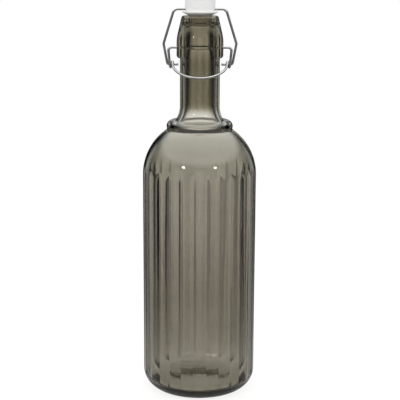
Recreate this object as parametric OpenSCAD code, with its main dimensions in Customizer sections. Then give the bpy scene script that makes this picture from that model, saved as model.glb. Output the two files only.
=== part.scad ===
// Swing-top bottle of ribbed glass, closed by a stopper on a pair of bent wires.
// Z is the bottle's axis, and its zero is the surface that the bottle stands on.
// The handle of the lever wire is at the front, on the -Y side.

/* [Body] */
// Diameter over the ribs
body_d = 88; // [80:0.5:96]
// Height at which the straight side ends and the shoulder begins
body_h = 172; // [120:1:220]
// Radius of the heel, between the side and the base
heel_r = 16; // [10:0.5:20]
// Thickness of the glass in the side and the shoulder
wall_t = 2.8; // [2.4:0.1:5]
// Thickness of the floor
floor_t = 8; // [6:0.5:12]
// Radius of the corner between the floor and the inner wall
floor_corner_r = 4; // [2:0.5:8]
// Diameter of the hollow under the base
hollow_d = 44; // [30:1:52]
// Depth of the hollow under the base
hollow_depth = 2.5; // [1:0.5:4]

/* [Ribs] */
// Number of ribs round the body
rib_count = 28; // [20:1:36]
// Depth of the grooves between the ribs
rib_depth = 0.6; // [0.4:0.05:1.2]
// Angle that the front rib is turned to the right of the front
rib_turn = 1.1; // [-6:0.1:6]

/* [Shoulder and neck] */
// Radius of the arc of the shoulder
shoulder_r = 43; // [40:0.5:43.5]
// Diameter over the ring round the foot of the neck
ring_d = 51; // [46:0.5:56]
// Thickness of that ring
ring_t = 9.2; // [7:0.1:10]
// Diameter of the neck
neck_d = 30.5; // [29.5:0.1:31.5]
// Radius of the flare from the ring into the neck
flare_r = 20; // [17:0.5:24]
// Height of the flare above the middle of the ring
flare_h = 15.5; // [14:0.5:16.5]
// Length of the straight neck, from the flare to the collar
neck_h = 36.4; // [30:0.2:60]
// Diameter of the bore inside the neck
neck_bore_d = 22; // [19:0.2:23]
// Radius of the throat, where the bore opens into the shoulder
throat_r = 28; // [12:0.5:32]
// Diameter of the narrow bore at the mouth, round the plug
bore_d = 15.8; // [15.8:0.1:17]
// Depth of the narrow bore below the mouth
bore_depth = 12; // [10:0.2:14]
// Radius of the two bends in which the narrow bore widens to the neck's
widen_r = 12; // [9:0.5:16]

/* [Collar] */
// Diameter of the collar
collar_d = 35.6; // [34.6:0.1:37]
// Height of the collar, from its lower edge to the mouth
collar_h = 32; // [30:0.2:36]
// Height of the straight part of the collar
collar_straight_h = 15; // [13:0.2:18]
// Radius of the knee where the collar begins to narrow
collar_knee_r = 30; // [10:1:40]
// Radius of the collar's lower edge
collar_edge_r = 2.6; // [1.5:0.1:3]
// Diameter of the collar at the mouth
mouth_d = 28.4; // [27.4:0.1:30]
// Radius of the rounded lip
lip_r = 2; // [1.2:0.1:2.4]
// Width of the arched recess in the collar's front and back
arch_w = 20; // [16:0.2:22]
// Height of that recess above the collar's lower edge
arch_h = 7.6; // [6:0.1:9]
// Radius of the recess's upper corners
arch_corner_r = 2.3; // [1:0.1:3]
// Height of the two wire sockets above the collar's lower edge
socket_h = 8; // [6:0.1:10]
// Depth of the wire sockets
socket_depth = 4.9; // [3.5:0.1:5.5]

/* [Stopper] */
// Diameter of the head
head_d = 22.8; // [20:0.2:26]
// Height of the head
head_h = 15.5; // [12:0.5:20]
// Diameter of the head's lower face
head_foot_d = 20.8; // [18:0.2:22]
// Height of the tapered foot of the head
head_foot_h = 3.6; // [2.5:0.1:5]
// Radius of the head's upper edge
head_edge_r = 3; // [1.5:0.1:4]
// Height of the hole for the wire above the head's lower face
bar_h = 2.2; // [2:0.1:5]
// Diameter of the stem that carries the gasket
stem_d = 7; // [5:0.1:9]
// Diameter of the plug below the gasket
plug_d = 13.2; // [11:0.1:13.3]
// Length of the plug
plug_h = 7.2; // [4:0.1:7.5]
// Radius of the plug's lower edge
plug_edge_r = 2.4; // [1:0.1:3]

/* [Gasket] */
// Diameter of the gasket
gasket_d = 26.8; // [25:0.2:30]
// Thickness of the gasket round the stem
gasket_t = 3.5; // [2.5:0.1:5]
// Thickness of the gasket's rim
gasket_rim_t = 1.2; // [0.8:0.1:2]
// Slope of the gasket's underside, in degrees
gasket_slope = 25; // [20:0.5:30]

/* [Lever wire] */
// Diameter of both wires
wire_d = 1.9; // [1.6:0.1:2]
// Distance between the lever's legs at the sockets
lever_w = 48.4; // [46:0.2:52]
// Distance between the lever's legs at the eyes
eye_w = 45.4; // [45:0.2:47]
// Distance of the eyes below the sockets
eye_drop = 13; // [11:0.1:15]
// Distance of the eyes behind the sockets, which locks the closed lever
eye_back = 1.9; // [1.6:0.1:2.4]
// Radius of the bends beside the sockets
lever_bend_r = 2.5; // [1.5:0.1:4]
// Length of wire between an eye and the bow of the handle
handle_run = 3.4; // [2:0.1:8]
// Angle of the handle below the level, in degrees
handle_slope = 26; // [10:1:35]

/* [Bail wire] */
// Distance between the upper corners of the bail
bail_top_w = 39.2; // [36:0.2:44]
// Radius of the upper corners
bail_top_r = 4; // [2:0.1:6]
// Distance between the bail's legs where they are widest
bail_wide_w = 55.4; // [54:0.2:58]
// Height of the widest place above the eyes
bail_wide_h = 15.8; // [14:0.2:20]
// Radius of the bends at the widest place
bail_wide_r = 4; // [2:0.1:8]
// Radius of the bends into the eyes
bail_foot_r = 2; // [1.5:0.1:2.2]

/* [Clearances] */
// Gap between the gasket and the lip
seat_gap = 0.35; // [0.25:0.01:0.45]
// Gap round a wire that turns in a drilled hole
pin_gap = 0.08; // [0.05:0.01:0.1]
// Gap round the bail's foot in the lever's eye
eye_gap = 0.2; // [0.15:0.01:0.3]
// Gap between wires that pass each other
pass_gap = 0.15; // [0.1:0.01:0.3]
// Gap between the end of a wire and the glass
end_gap = 0.3; // [0.2:0.05:0.5]
// Gap between the bail's feet and the neck
foot_gap = 1.15; // [1.1:0.05:1.5]

/* [Hidden] */
$fn = 96;
// Number of sides round a wire
wire_sides = 32;
// Overrun of every cut
over = 1;
// Excess radius of the wire in its bends
bend_swell = 0.03;
// Length by which a straight length of wire reaches into a bend
bend_lap = 0.1;
// Depth of glass that the ribs take off the turned body at their crests
crest_cut = 0.05;

// Body and shoulder
crest_r = body_d / 2;
body_r = crest_r + crest_cut;
inner_r = body_r - wall_t;
heel_x = body_r - heel_r;
shoulder_x = body_r - shoulder_r;
inner_shoulder_r = shoulder_r - wall_t;
hollow_r = hollow_d / 2;
hollow_sphere_r = (pow(hollow_r, 2) + pow(hollow_depth, 2)) / (2 * hollow_depth);

// Ribs: each is an arc whose crest lies on the diameter over the ribs
groove_r = crest_r - rib_depth;
rib_half_angle = 180 / rib_count;
rib_x = (pow(crest_r, 2) - pow(groove_r, 2)) / (2 * (crest_r - groove_r * cos(rib_half_angle)));
rib_r = crest_r - rib_x;

// Ring and neck: the middle of the ring lies on the arc of the shoulder
ring_r = ring_t / 2;
ring_x = ring_d / 2 - ring_r;
ring_z = body_h + sqrt(pow(shoulder_r, 2) - pow(ring_x - shoulder_x, 2));
neck_r = neck_d / 2;
bore_r = bore_d / 2;
neck_bore_r = neck_bore_d / 2;
flare_z = ring_z + flare_h;
throat_x = neck_bore_r + throat_r;
throat_z = body_h + sqrt(pow(inner_shoulder_r + throat_r, 2) - pow(throat_x - shoulder_x, 2));
throat_share = inner_shoulder_r / (inner_shoulder_r + throat_r);
throat_foot = [shoulder_x + (throat_x - shoulder_x) * throat_share, body_h + (throat_z - body_h) * throat_share];

// Collar and mouth
collar_z = flare_z + neck_h;
collar_r = collar_d / 2;
knee_z = collar_z + collar_straight_h;
mouth_z = collar_z + collar_h;
mouth_r = mouth_d / 2;
lip_z = mouth_z - lip_r;
taper = atan((collar_r - mouth_r) / (lip_z - knee_z));
knee_cut = collar_knee_r * tan(taper / 2);
knee_foot = [collar_r, knee_z - knee_cut];
knee_head = [collar_r - knee_cut * sin(taper), knee_z + knee_cut * cos(taper)];
socket_z = collar_z + socket_h;
socket_x = collar_r - socket_depth;
widen_w = neck_bore_r - bore_r;
widen_z = mouth_z - bore_depth;
widen_foot_z = widen_z - sqrt(4 * widen_r * widen_w - pow(widen_w, 2));
widen_middle = [(bore_r + neck_bore_r) / 2, (widen_z + widen_foot_z) / 2];

// Gasket and stopper: the gasket's slope stays clear of the lip by the seat gap
gasket_bore_r = stem_d / 2 + pin_gap;
plug_r = plug_d / 2;
gasket_r = gasket_d / 2;
slope_z = lip_z + (lip_r + seat_gap) / cos(gasket_slope) - (bore_r + lip_r) * tan(gasket_slope);
gasket_z = slope_z + plug_r * tan(gasket_slope);
gasket_rim_z = slope_z + gasket_r * tan(gasket_slope);
head_z = gasket_z + gasket_t;
head_top_z = head_z + head_h;
head_r = head_d / 2;
head_foot_r = head_foot_d / 2;
plug_z = gasket_z - plug_h;

// Wires
wire_r = wire_d / 2;
wire_bend_r = wire_r + bend_swell;
bar_z = head_z + bar_h;
eye_y = eye_back;
eye_z = socket_z - eye_drop;
eye_x = eye_w / 2;
eye_r = wire_d + eye_gap;
eye_bend_r = eye_r - pass_gap;
strand_x = eye_x - wire_d - pass_gap;
lever_x = lever_w / 2;
handle_dir = [0, -cos(handle_slope), -sin(handle_slope)];
eye_exit = [strand_x, eye_y - eye_r * tan(handle_slope / 2), eye_z + eye_r];
handle_start = eye_exit + handle_run * handle_dir;
bail_foot_x = eye_x + wire_d + pass_gap;
bail_foot_end = neck_r + foot_gap;
bail_wide_z = eye_z + bail_wide_h;
bail_wide_y = eye_y * (bar_z - bail_wide_z) / (bar_z - eye_z);

// Points of the right half of the lever wire, from the socket round the eye to the handle
strand_step = (eye_x - strand_x) / 3;
lever_points = [
    [socket_x + end_gap, 0, socket_z],
    [lever_x, 0, socket_z],
    [eye_x, eye_y - eye_r, eye_z - eye_r],
    [eye_x - strand_step, eye_y + eye_r, eye_z - eye_r],
    [eye_x - 2 * strand_step, eye_y + eye_r, eye_z + eye_r],
    eye_exit,
    handle_start
];
lever_bends = [0, lever_bend_r, eye_bend_r, eye_bend_r, eye_bend_r, eye_bend_r, strand_x];

// Points of the right half of the bail wire, from the crossbar to the foot in the eye
bail_points = [
    [0, 0, bar_z],
    [bail_top_w / 2, 0, bar_z],
    [bail_wide_w / 2, bail_wide_y, bail_wide_z],
    [bail_foot_x, eye_y, eye_z],
    [bail_foot_end, eye_y, eye_z]
];
bail_bends = [0, bail_top_r, bail_wide_r, bail_foot_r, 0];

function unit(v) = v / norm(v);
function side_of(v) = unit(abs(v[1]) > abs(v[0]) ? cross(v, [1, 0, 0]) : cross(v, [0, 1, 0]));
function turn_of(u, v) = acos(u * v);

// Places its children at a point, with their axes along three unit vectors
module placed(at, x, y, z) {
    multmatrix([
        [x[0], y[0], z[0], at[0]],
        [x[1], y[1], z[1], at[1]],
        [x[2], y[2], z[2], at[2]],
        [0, 0, 0, 1]
    ]) children();
}

// A straight length of wire between two points
module wire_straight(from, to) {
    dir = unit(to - from);
    side = side_of(dir);
    placed(from, side, cross(dir, side), dir)
        cylinder(h = norm(to - from), r = wire_r, $fn = wire_sides);
}

// A bend in a wire at a corner, from one direction into another
module wire_bend(corner, dir_in, dir_out, bend_r) {
    turn = turn_of(dir_in, dir_out);
    cut = bend_r * tan(turn / 2);
    start = corner - cut * dir_in;
    inward = unit(dir_out - (dir_out * dir_in) * dir_in);
    placed(start + bend_r * inward, -inward, dir_in, cross(-inward, dir_in))
        rotate_extrude(angle = turn)
            translate([bend_r, 0])
                circle(r = wire_bend_r, $fn = wire_sides);
}

// A wire that follows points, with a bend of its own radius at each inner one.
// A last point with a radius is the start of a bow, which is drawn apart.
module bent_wire(points, bends) {
    last = len(points) - 1;
    dirs = [for (i = [0 : last - 1]) unit(points[i + 1] - points[i])];
    cuts = [for (i = [0 : last]) i == 0 || i == last ? 0 : bends[i] * tan(turn_of(dirs[i - 1], dirs[i]) / 2)];
    ends = [for (i = [0 : last]) bends[i] > 0 ? cuts[i] - bend_lap : 0];
    for (i = [0 : last - 1])
        wire_straight(points[i] + ends[i] * dirs[i], points[i + 1] - ends[i + 1] * dirs[i]);
    for (i = [1 : last - 1])
        wire_bend(points[i], dirs[i - 1], dirs[i], bends[i]);
}

// Both halves of a symmetrical wire
module both_sides() {
    children();
    mirror([1, 0, 0]) children();
}

// Outline of the body, from the base to the top of the shoulder
module body_outline() {
    difference() {
        union() {
            square([heel_x, heel_r]);
            translate([heel_x, heel_r]) circle(r = heel_r);
            translate([0, heel_r]) square([body_r, body_h - heel_r]);
            intersection() {
                translate([shoulder_x, body_h]) circle(r = shoulder_r);
                translate([0, body_h]) square([body_r, shoulder_r]);
            }
        }
        translate([0, hollow_depth - hollow_sphere_r]) circle(r = hollow_sphere_r, $fn = 4 * $fn);
    }
}

// Outline of the ring, the flare and the neck
module neck_outline() {
    translate([ring_x, ring_z]) circle(r = ring_r);
    difference() {
        translate([0, ring_z]) square([ring_x, flare_h]);
        translate([neck_r + flare_r, flare_z]) circle(r = flare_r);
    }
    translate([0, ring_z]) square([neck_r, knee_z - ring_z]);
}

// Outline of the collar, with its knee and its rounded lip
module collar_outline() {
    translate([collar_r - collar_edge_r, collar_z + collar_edge_r]) circle(r = collar_edge_r);
    translate([0, collar_z]) square([collar_r - collar_edge_r, collar_edge_r]);
    translate([0, collar_z + collar_edge_r]) square([collar_r, knee_foot[1] - collar_z - collar_edge_r]);
    polygon([[0, knee_foot[1]], knee_foot, knee_head, [mouth_r, lip_z], [0, lip_z]]);
    intersection() {
        translate([collar_r - collar_knee_r, knee_foot[1]]) circle(r = collar_knee_r, $fn = 4 * $fn);
        polygon([knee_foot, [collar_r, knee_z], knee_head]);
    }
    translate([mouth_r - lip_r, lip_z]) circle(r = lip_r);
    translate([0, lip_z]) square([mouth_r - lip_r, lip_r]);
}

// Outline of the space inside the glass
module inner_outline() {
    translate([0, floor_t]) square([inner_r - floor_corner_r, floor_corner_r]);
    translate([inner_r - floor_corner_r, floor_t + floor_corner_r]) circle(r = floor_corner_r);
    translate([0, floor_t + floor_corner_r]) square([inner_r, body_h - floor_t - floor_corner_r]);
    intersection() {
        translate([shoulder_x, body_h]) circle(r = inner_shoulder_r);
        translate([0, body_h]) square([inner_r, inner_shoulder_r]);
    }
    difference() {
        polygon([[0, throat_foot[1]], throat_foot, [throat_x, throat_z], [0, throat_z]]);
        translate([throat_x, throat_z]) circle(r = throat_r);
    }
    translate([0, body_h]) square([neck_bore_r, widen_foot_z - body_h]);
    intersection() {
        translate([neck_bore_r - widen_r, widen_foot_z]) circle(r = widen_r);
        translate([0, widen_foot_z]) square([neck_bore_r, widen_middle[1] - widen_foot_z]);
    }
    difference() {
        polygon([[0, widen_middle[1]], widen_middle, [bore_r + widen_r, widen_z], [0, widen_z]]);
        translate([bore_r + widen_r, widen_z]) circle(r = widen_r);
    }
    translate([0, widen_foot_z]) square([bore_r, mouth_z + over - widen_foot_z]);
    difference() {
        translate([0, lip_z]) square([bore_r + lip_r, lip_r + over]);
        translate([bore_r + lip_r, lip_z]) circle(r = lip_r);
    }
}

// What lies outside the ribs: a band whose inner edge is the row of rib arcs
module rib_grooves() {
    translate([0, 0, -over])
        linear_extrude(height = body_h + shoulder_r / 2)
            difference() {
                circle(r = body_r + over);
                circle(r = rib_x);
                for (i = [0 : rib_count - 1])
                    rotate(rib_turn - 90 + i * 2 * rib_half_angle)
                        translate([rib_x, 0])
                            circle(r = rib_r);
            }
}

// The arched recess, cut from front to back
module arch_cut() {
    corner_x = arch_w / 2 - arch_corner_r;
    translate([0, collar_r + over, collar_z])
        rotate([90, 0, 0])
            linear_extrude(height = 2 * (collar_r + over)) {
                translate([-arch_w / 2, -over]) square([arch_w, arch_h - arch_corner_r + over]);
                translate([-corner_x, -over]) square([2 * corner_x, arch_h + over]);
                translate([-corner_x, arch_h - arch_corner_r]) circle(r = arch_corner_r);
                translate([corner_x, arch_h - arch_corner_r]) circle(r = arch_corner_r);
            }
}

// A socket for one end of the lever wire
module socket_cut() {
    translate([socket_x, 0, socket_z])
        rotate([0, 90, 0])
            cylinder(h = socket_depth + over, r = wire_r + pin_gap, $fn = wire_sides);
}

// The bottle: ribbed body, shoulder, ring, neck, and a collar with two ears
module glass_bottle() {
    color([0.50, 0.48, 0.43])
        difference() {
            union() {
                difference() {
                    rotate_extrude() body_outline();
                    rib_grooves();
                }
                rotate_extrude() neck_outline();
                difference() {
                    rotate_extrude() collar_outline();
                    arch_cut();
                }
            }
            rotate_extrude() inner_outline();
            both_sides() socket_cut();
        }
}

// The stopper: a round head with a cross hole, a stem and a plug
module stopper() {
    color([0.96, 0.96, 0.95])
        difference() {
            rotate_extrude() {
                polygon([[0, head_z], [head_foot_r, head_z], [head_r, head_z + head_foot_h],
                         [head_r, head_top_z - head_edge_r], [0, head_top_z - head_edge_r]]);
                translate([head_r - head_edge_r, head_top_z - head_edge_r]) circle(r = head_edge_r);
                translate([0, head_top_z - head_edge_r]) square([head_r - head_edge_r, head_edge_r]);
                translate([0, plug_z]) square([stem_d / 2, head_z - plug_z]);
                translate([0, plug_z + plug_edge_r]) square([plug_r, plug_h - plug_edge_r]);
                translate([0, plug_z]) square([plug_r - plug_edge_r, plug_edge_r]);
                translate([plug_r - plug_edge_r, plug_z + plug_edge_r]) circle(r = plug_edge_r);
            }
            translate([-head_r - over, 0, bar_z])
                rotate([0, 90, 0])
                    cylinder(h = head_d + 2 * over, r = wire_r + pin_gap, $fn = wire_sides);
        }
}

// The gasket: a dished washer on the stem, between the head and the plug
module gasket() {
    color([0.74, 0.74, 0.71])
        rotate_extrude()
            polygon([[gasket_bore_r, gasket_z], [plug_r, gasket_z], [gasket_r, gasket_rim_z],
                     [gasket_r, gasket_rim_z + gasket_rim_t], [head_foot_r, head_z], [gasket_bore_r, head_z]]);
}

// The lever wire: two pins, two legs that wind round into eyes, and the bow of the handle
module lever_wire() {
    color([0.55, 0.55, 0.54]) {
        both_sides() bent_wire(lever_points, lever_bends);
        placed([0, handle_start[1], handle_start[2]], [1, 0, 0], handle_dir, cross([1, 0, 0], handle_dir))
            rotate_extrude(angle = 180)
                translate([strand_x, 0])
                    circle(r = wire_bend_r, $fn = wire_sides);
    }
}

// The bail wire: a crossbar through the stopper, two legs, and feet that turn in the eyes
module bail_wire() {
    color([0.50, 0.50, 0.49])
        both_sides() bent_wire(bail_points, bail_bends);
}

glass_bottle();
stopper();
gasket();
lever_wire();
bail_wire();
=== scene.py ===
"""The looks of the swing-top bottle: smoked glass, steel wires, a white stopper and its rubber washer."""
import math

import bpy
from mathutils import Matrix, Vector, noise


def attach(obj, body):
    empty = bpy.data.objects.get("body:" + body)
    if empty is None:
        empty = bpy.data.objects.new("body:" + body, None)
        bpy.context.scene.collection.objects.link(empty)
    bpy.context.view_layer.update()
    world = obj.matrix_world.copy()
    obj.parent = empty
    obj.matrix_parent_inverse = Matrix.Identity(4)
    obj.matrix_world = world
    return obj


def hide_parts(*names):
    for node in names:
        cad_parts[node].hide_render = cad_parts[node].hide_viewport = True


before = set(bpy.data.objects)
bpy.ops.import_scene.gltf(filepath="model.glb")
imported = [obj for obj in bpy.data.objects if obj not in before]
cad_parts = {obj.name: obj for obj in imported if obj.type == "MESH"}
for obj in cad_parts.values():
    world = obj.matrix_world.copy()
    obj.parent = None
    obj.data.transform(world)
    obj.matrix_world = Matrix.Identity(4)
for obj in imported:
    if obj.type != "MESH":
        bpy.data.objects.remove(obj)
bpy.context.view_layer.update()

MM = 0.001

# Right and left: the sign of X, and the angle from the front
SIDES = ((1, 90.0), (-1, 270.0))

# Sizes are in millimetres and degrees, as in the part's source unless a comment says otherwise

# Body
BODY_R = 44.0
BODY_H = 172.0
HEEL_R = 16.0
WALL_T = 2.8
FLOOR_T = 8.0
FLOOR_CORNER_R = 4.0
HOLLOW_R = 22.0
HOLLOW_DEPTH = 2.5
HOLLOW_EDGE_R = 6.0
RIB_COUNT = 28
RIB_DEPTH = 0.6
RIB_TURN = 1.1
VALLEY_ROUND = 0.25
RUN_OUT_ROUND = 0.3

# Shoulder, ring and neck
SHOULDER_R = 43.0
RING_D = 51.0
RING_T = 9.2
RING_FOOT_R = 1.2
RING_HEAD_R = 1.0
NECK_R = 15.25
FLARE_R = 20.0
FLARE_H = 15.5
NECK_H = 36.4
THROAT_R = 28.0
BORE_R = 7.9

# The bore below the plug: wider and from higher up than in the source, as the photo shows it
NECK_BORE_R = 11.5
BORE_DEPTH = 3.0
WIDEN_R = 3.5

# Collar and mouth. The arch's edge is rounder than in the source
COLLAR_R = 17.8
COLLAR_H = 32.0
COLLAR_STRAIGHT_H = 15.0
COLLAR_KNEE_R = 30.0
EAR_EDGE_R = 2.4
ARCH_EDGE_R = 2.0
LEDGE_FILLET_R = 0.45
MOUTH_R = 14.2
LIP_R = 2.0
ARCH_HALF_W = 10.0
ARCH_H = 7.6
ARCH_CORNER_R = 2.3
ARCH_FOOT_R = 1.0
ARCH_DRAFT = 0.7
SOCKET_H = 8.0
SOCKET_DEPTH = 4.9
SOCKET_R = 1.03

# Sizes that follow
RING_R = RING_T / 2
RING_X = RING_D / 2 - RING_R
SHOULDER_X = BODY_R - SHOULDER_R
RING_Z = BODY_H + math.sqrt(SHOULDER_R ** 2 - (RING_X - SHOULDER_X) ** 2)
FLARE_X = NECK_R + FLARE_R
FLARE_Z = RING_Z + FLARE_H
COLLAR_Z = FLARE_Z + NECK_H
KNEE_Z = COLLAR_Z + COLLAR_STRAIGHT_H
MOUTH_Z = COLLAR_Z + COLLAR_H
LIP_Z = MOUTH_Z - LIP_R
SOCKET_Z = COLLAR_Z + SOCKET_H
WIDEN_W = NECK_BORE_R - BORE_R
WIDEN_Z = MOUTH_Z - BORE_DEPTH
WIDEN_FOOT_Z = WIDEN_Z - math.sqrt(4 * WIDEN_R * WIDEN_W - WIDEN_W ** 2)
INNER_R = BODY_R - WALL_T
INNER_SHOULDER_R = SHOULDER_R - WALL_T
THROAT_X = NECK_BORE_R + THROAT_R
THROAT_Z = BODY_H + math.sqrt((INNER_SHOULDER_R + THROAT_R) ** 2 - (THROAT_X - SHOULDER_X) ** 2)
TAPER = math.degrees(math.atan((COLLAR_R - MOUTH_R) / (LIP_Z - KNEE_Z)))
KNEE_FOOT_Z = KNEE_Z - COLLAR_KNEE_R * math.tan(math.radians(TAPER / 2))
LEAST_LEDGE = 0.01
EDGE_WIDEST = COLLAR_R - NECK_R - LEDGE_FILLET_R - LEAST_LEDGE

# Radius of the smallest ring round the middle of base and floor
POLE_R = 1.5

# How finely each part of the glass is divided: outside from the base up
HOLLOW_ROWS = 8
BASE_ROWS = 3
HEEL_ROWS = 22
BODY_ROWS = 40
SHOULDER_ROWS = 44
RING_FILLET_ROWS = 6
RING_ROWS = 22
FLARE_ROWS = 16
NECK_ROWS = 20
FILLET_TURNS = (180, 157, 135, 112, 90)
LEDGE_SHARES = (0.34, 0.67, 1.0)
EDGE_TURNS = range(-80, 1, 10)
STRAIGHT_ROWS = 18
KNEE_ROWS = 8
TAPER_ROWS = 16
LIP_ROWS = 12
LIP_TOP_ROWS = 4

# And inside from the lip down
INNER_LIP_ROWS = 10
BORE_ROWS = 10
WIDEN_ROWS = 8
NECK_BORE_ROWS = 24
THROAT_ROWS = 14
INNER_SHOULDER_ROWS = 36
INNER_BODY_ROWS = 60
FLOOR_CORNER_ROWS = 10
FLOOR_ROWS = 10

# The mouth's columns go back to those of the ribs over these rows
COLUMN_RETURN_ROWS = 30

# Unevenness of the blown inner surface: size of the waves and their height, and the heights over which they fade
WALL_WAVE = (24.0, 0.22)
BORE_WAVE = (12.0, 0.06)
WAVE_STRETCH = 0.35
WAVE_FADE = 10.0
WAVE_UNDER_LIP = 4.0
FLOOR_WAVE_FADE = 8.0
FLOOR_WAVE_SEED = 90.0
FLOOR_MARGIN = 1e-3

# Holes drilled across: their rim's round, and the rings of points from the patch to the bottom
RIM_R = 0.2
PATCH_REACH = 1.75
PATCH_ROWS_BELOW = 8
FUNNEL_SHARES = (0.4, 0.75, 1.0)
RIM_TURNS = (22, 45, 68, 90)
HOLE_SHARES = (0.25, 0.5, 0.75, 1.0)
CAP_SHARES = (0.7, 0.35)

# Edges over these angles stay sharp
SHARP_GLASS = 50
SHARP_PLASTIC = 40
SHARP_WIRE = 60


def arc(cx, cz, r, start, end, count):
    """Points on an arc of the profile, with the first one left out. Angles in degrees."""
    turns = [math.radians(start + (end - start) * i / count) for i in range(1, count + 1)]
    return [(cx + r * math.cos(a), cz + r * math.sin(a)) for a in turns]


def line(start, end, count):
    """Points on a straight line, with the first one left out."""
    return [tuple(s + (e - s) * i / count for s, e in zip(start, end)) for i in range(1, count + 1)]


def circles_meet(ax, az, ar, bx, bz, br, side):
    """Where two circles cross. side is 1 or -1 and picks the crossing."""
    dx, dz = bx - ax, bz - az
    d = math.hypot(dx, dz)
    along = (ar ** 2 - br ** 2 + d ** 2) / (2 * d)
    across = side * math.sqrt(ar ** 2 - along ** 2)
    return ax + (along * dx - across * dz) / d, az + (along * dz + across * dx) / d


def angle_to(cx, cz, x, z):
    """Angle from one point of the profile to another, in degrees."""
    return math.degrees(math.atan2(z - cz, x - cx)) % 360


def smooth_step(t):
    """From 0 to 1 with level ends."""
    t = min(max(t, 0.0), 1.0)
    return t * t * (3 - 2 * t)


def smooth_min(a, b, k):
    """The smaller of two lengths, with the corner between them rounded over k."""
    h = max(k - abs(a - b), 0.0) / k
    return min(a, b) - h * h * k / 4


def turn_between(a, b):
    """Smallest turn from angle b to angle a, in degrees."""
    return (a - b + 180) % 360 - 180


# Ribs: arcs tangent to the body's outer diameter, with rounded valleys
RIB_PITCH = 360 / RIB_COUNT
HALF_RIB = RIB_PITCH / 2
GROOVE_R = BODY_R - RIB_DEPTH
RIB_X = (BODY_R ** 2 - GROOVE_R ** 2) / (2 * (BODY_R - GROOVE_R * math.cos(math.radians(HALF_RIB))))
RIB_R = BODY_R - RIB_X
VALLEY_SHARE = VALLEY_ROUND / (BODY_R * math.radians(HALF_RIB))
HALF_RIB_SHARES = (0.025, 0.055, 0.1, 0.17, 0.26, 0.38, 0.52, 0.67, 0.83)


def rib_columns():
    """Angles of the columns in degrees, from the front towards +X, close together in the valleys."""
    shares = (0.0,) + HALF_RIB_SHARES + (1.0,) + tuple(2 - s for s in reversed(HALF_RIB_SHARES))
    columns = []
    for rib in range(RIB_COUNT):
        valley = RIB_TURN + (rib + 0.5) * RIB_PITCH
        columns += [valley + s * HALF_RIB for s in shares]
    return columns


def rib_radius(turn):
    """Radius of the row of ribs at an angle from the front."""
    off = turn_between(turn, RIB_TURN + round((turn - RIB_TURN) / RIB_PITCH) * RIB_PITCH)
    from_valley = math.hypot(1 - abs(off) / HALF_RIB, VALLEY_SHARE)
    off = math.radians(HALF_RIB * max(1 - from_valley, 0.0))
    return RIB_X * math.cos(off) + math.sqrt(RIB_R ** 2 - (RIB_X * math.sin(off)) ** 2)


# Columns of the collar: close together at the sides of the two arches
ARCH_TURN = math.degrees(math.asin((ARCH_HALF_W + ARCH_DRAFT / 3) / COLLAR_R))
ARCH_SIDES = ((ARCH_TURN, 1), (180 - ARCH_TURN, -1), (180 + ARCH_TURN, 1), (360 - ARCH_TURN, -1))
ARCH_CROWD = 5.0
ARCH_CROWD_WIDTH = 2.6
ARCH_CROWD_STEPS = 7200
SHEAR_WIDTH = 20.0


def crowded_columns(columns):
    """As many columns, crowded at the sides of the arches and kept in step with the first ones."""
    steps = ARCH_CROWD_STEPS
    weights = [1 + ARCH_CROWD * sum(math.exp(-(turn_between((i + 0.5) * 360 / steps, a) / ARCH_CROWD_WIDTH) ** 2)
                                    for a, _ in ARCH_SIDES) for i in range(steps)]
    total = sum(weights)
    crowded, run, index = [], 0.0, 0
    for i in range(len(columns)):
        goal = total * i / len(columns)
        while run + weights[index] <= goal:
            run += weights[index]
            index += 1
        crowded.append((index + (goal - run) / weights[index]) * 360 / steps)
    start = min(range(len(columns)), key=lambda i: abs(turn_between(crowded[i], columns[0])))
    return crowded[start:] + [c + 360 for c in crowded[:start]]


def arch_height(turn):
    """Height of the collar's lower edge over the ears' lowest place, at an angle from the front."""
    x = COLLAR_R * abs(math.sin(math.radians(turn)))
    corner_z = ARCH_H - ARCH_CORNER_R
    past_flat = max(x - (ARCH_HALF_W - ARCH_CORNER_R), 0.0)
    top = corner_z + math.sqrt(max(ARCH_CORNER_R ** 2 - past_flat ** 2, 0.0))
    wall = corner_z - (x - ARCH_HALF_W) * corner_z / ARCH_DRAFT
    return -smooth_min(-smooth_min(top, wall, ARCH_EDGE_R), 0.0, ARCH_FOOT_R)


def shear(turn, r):
    """Turn that keeps the sides of the arches upright walls, at a radius inside the collar's own."""
    for side, sign in ARCH_SIDES:
        off = abs(turn_between(turn, side)) / SHEAR_WIDTH
        if off < 1:
            narrow = math.degrees(math.asin(ARCH_HALF_W / r) - math.asin(ARCH_HALF_W / COLLAR_R))
            return sign * narrow * math.cos(off * math.pi / 2) ** 2
    return 0.0


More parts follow.
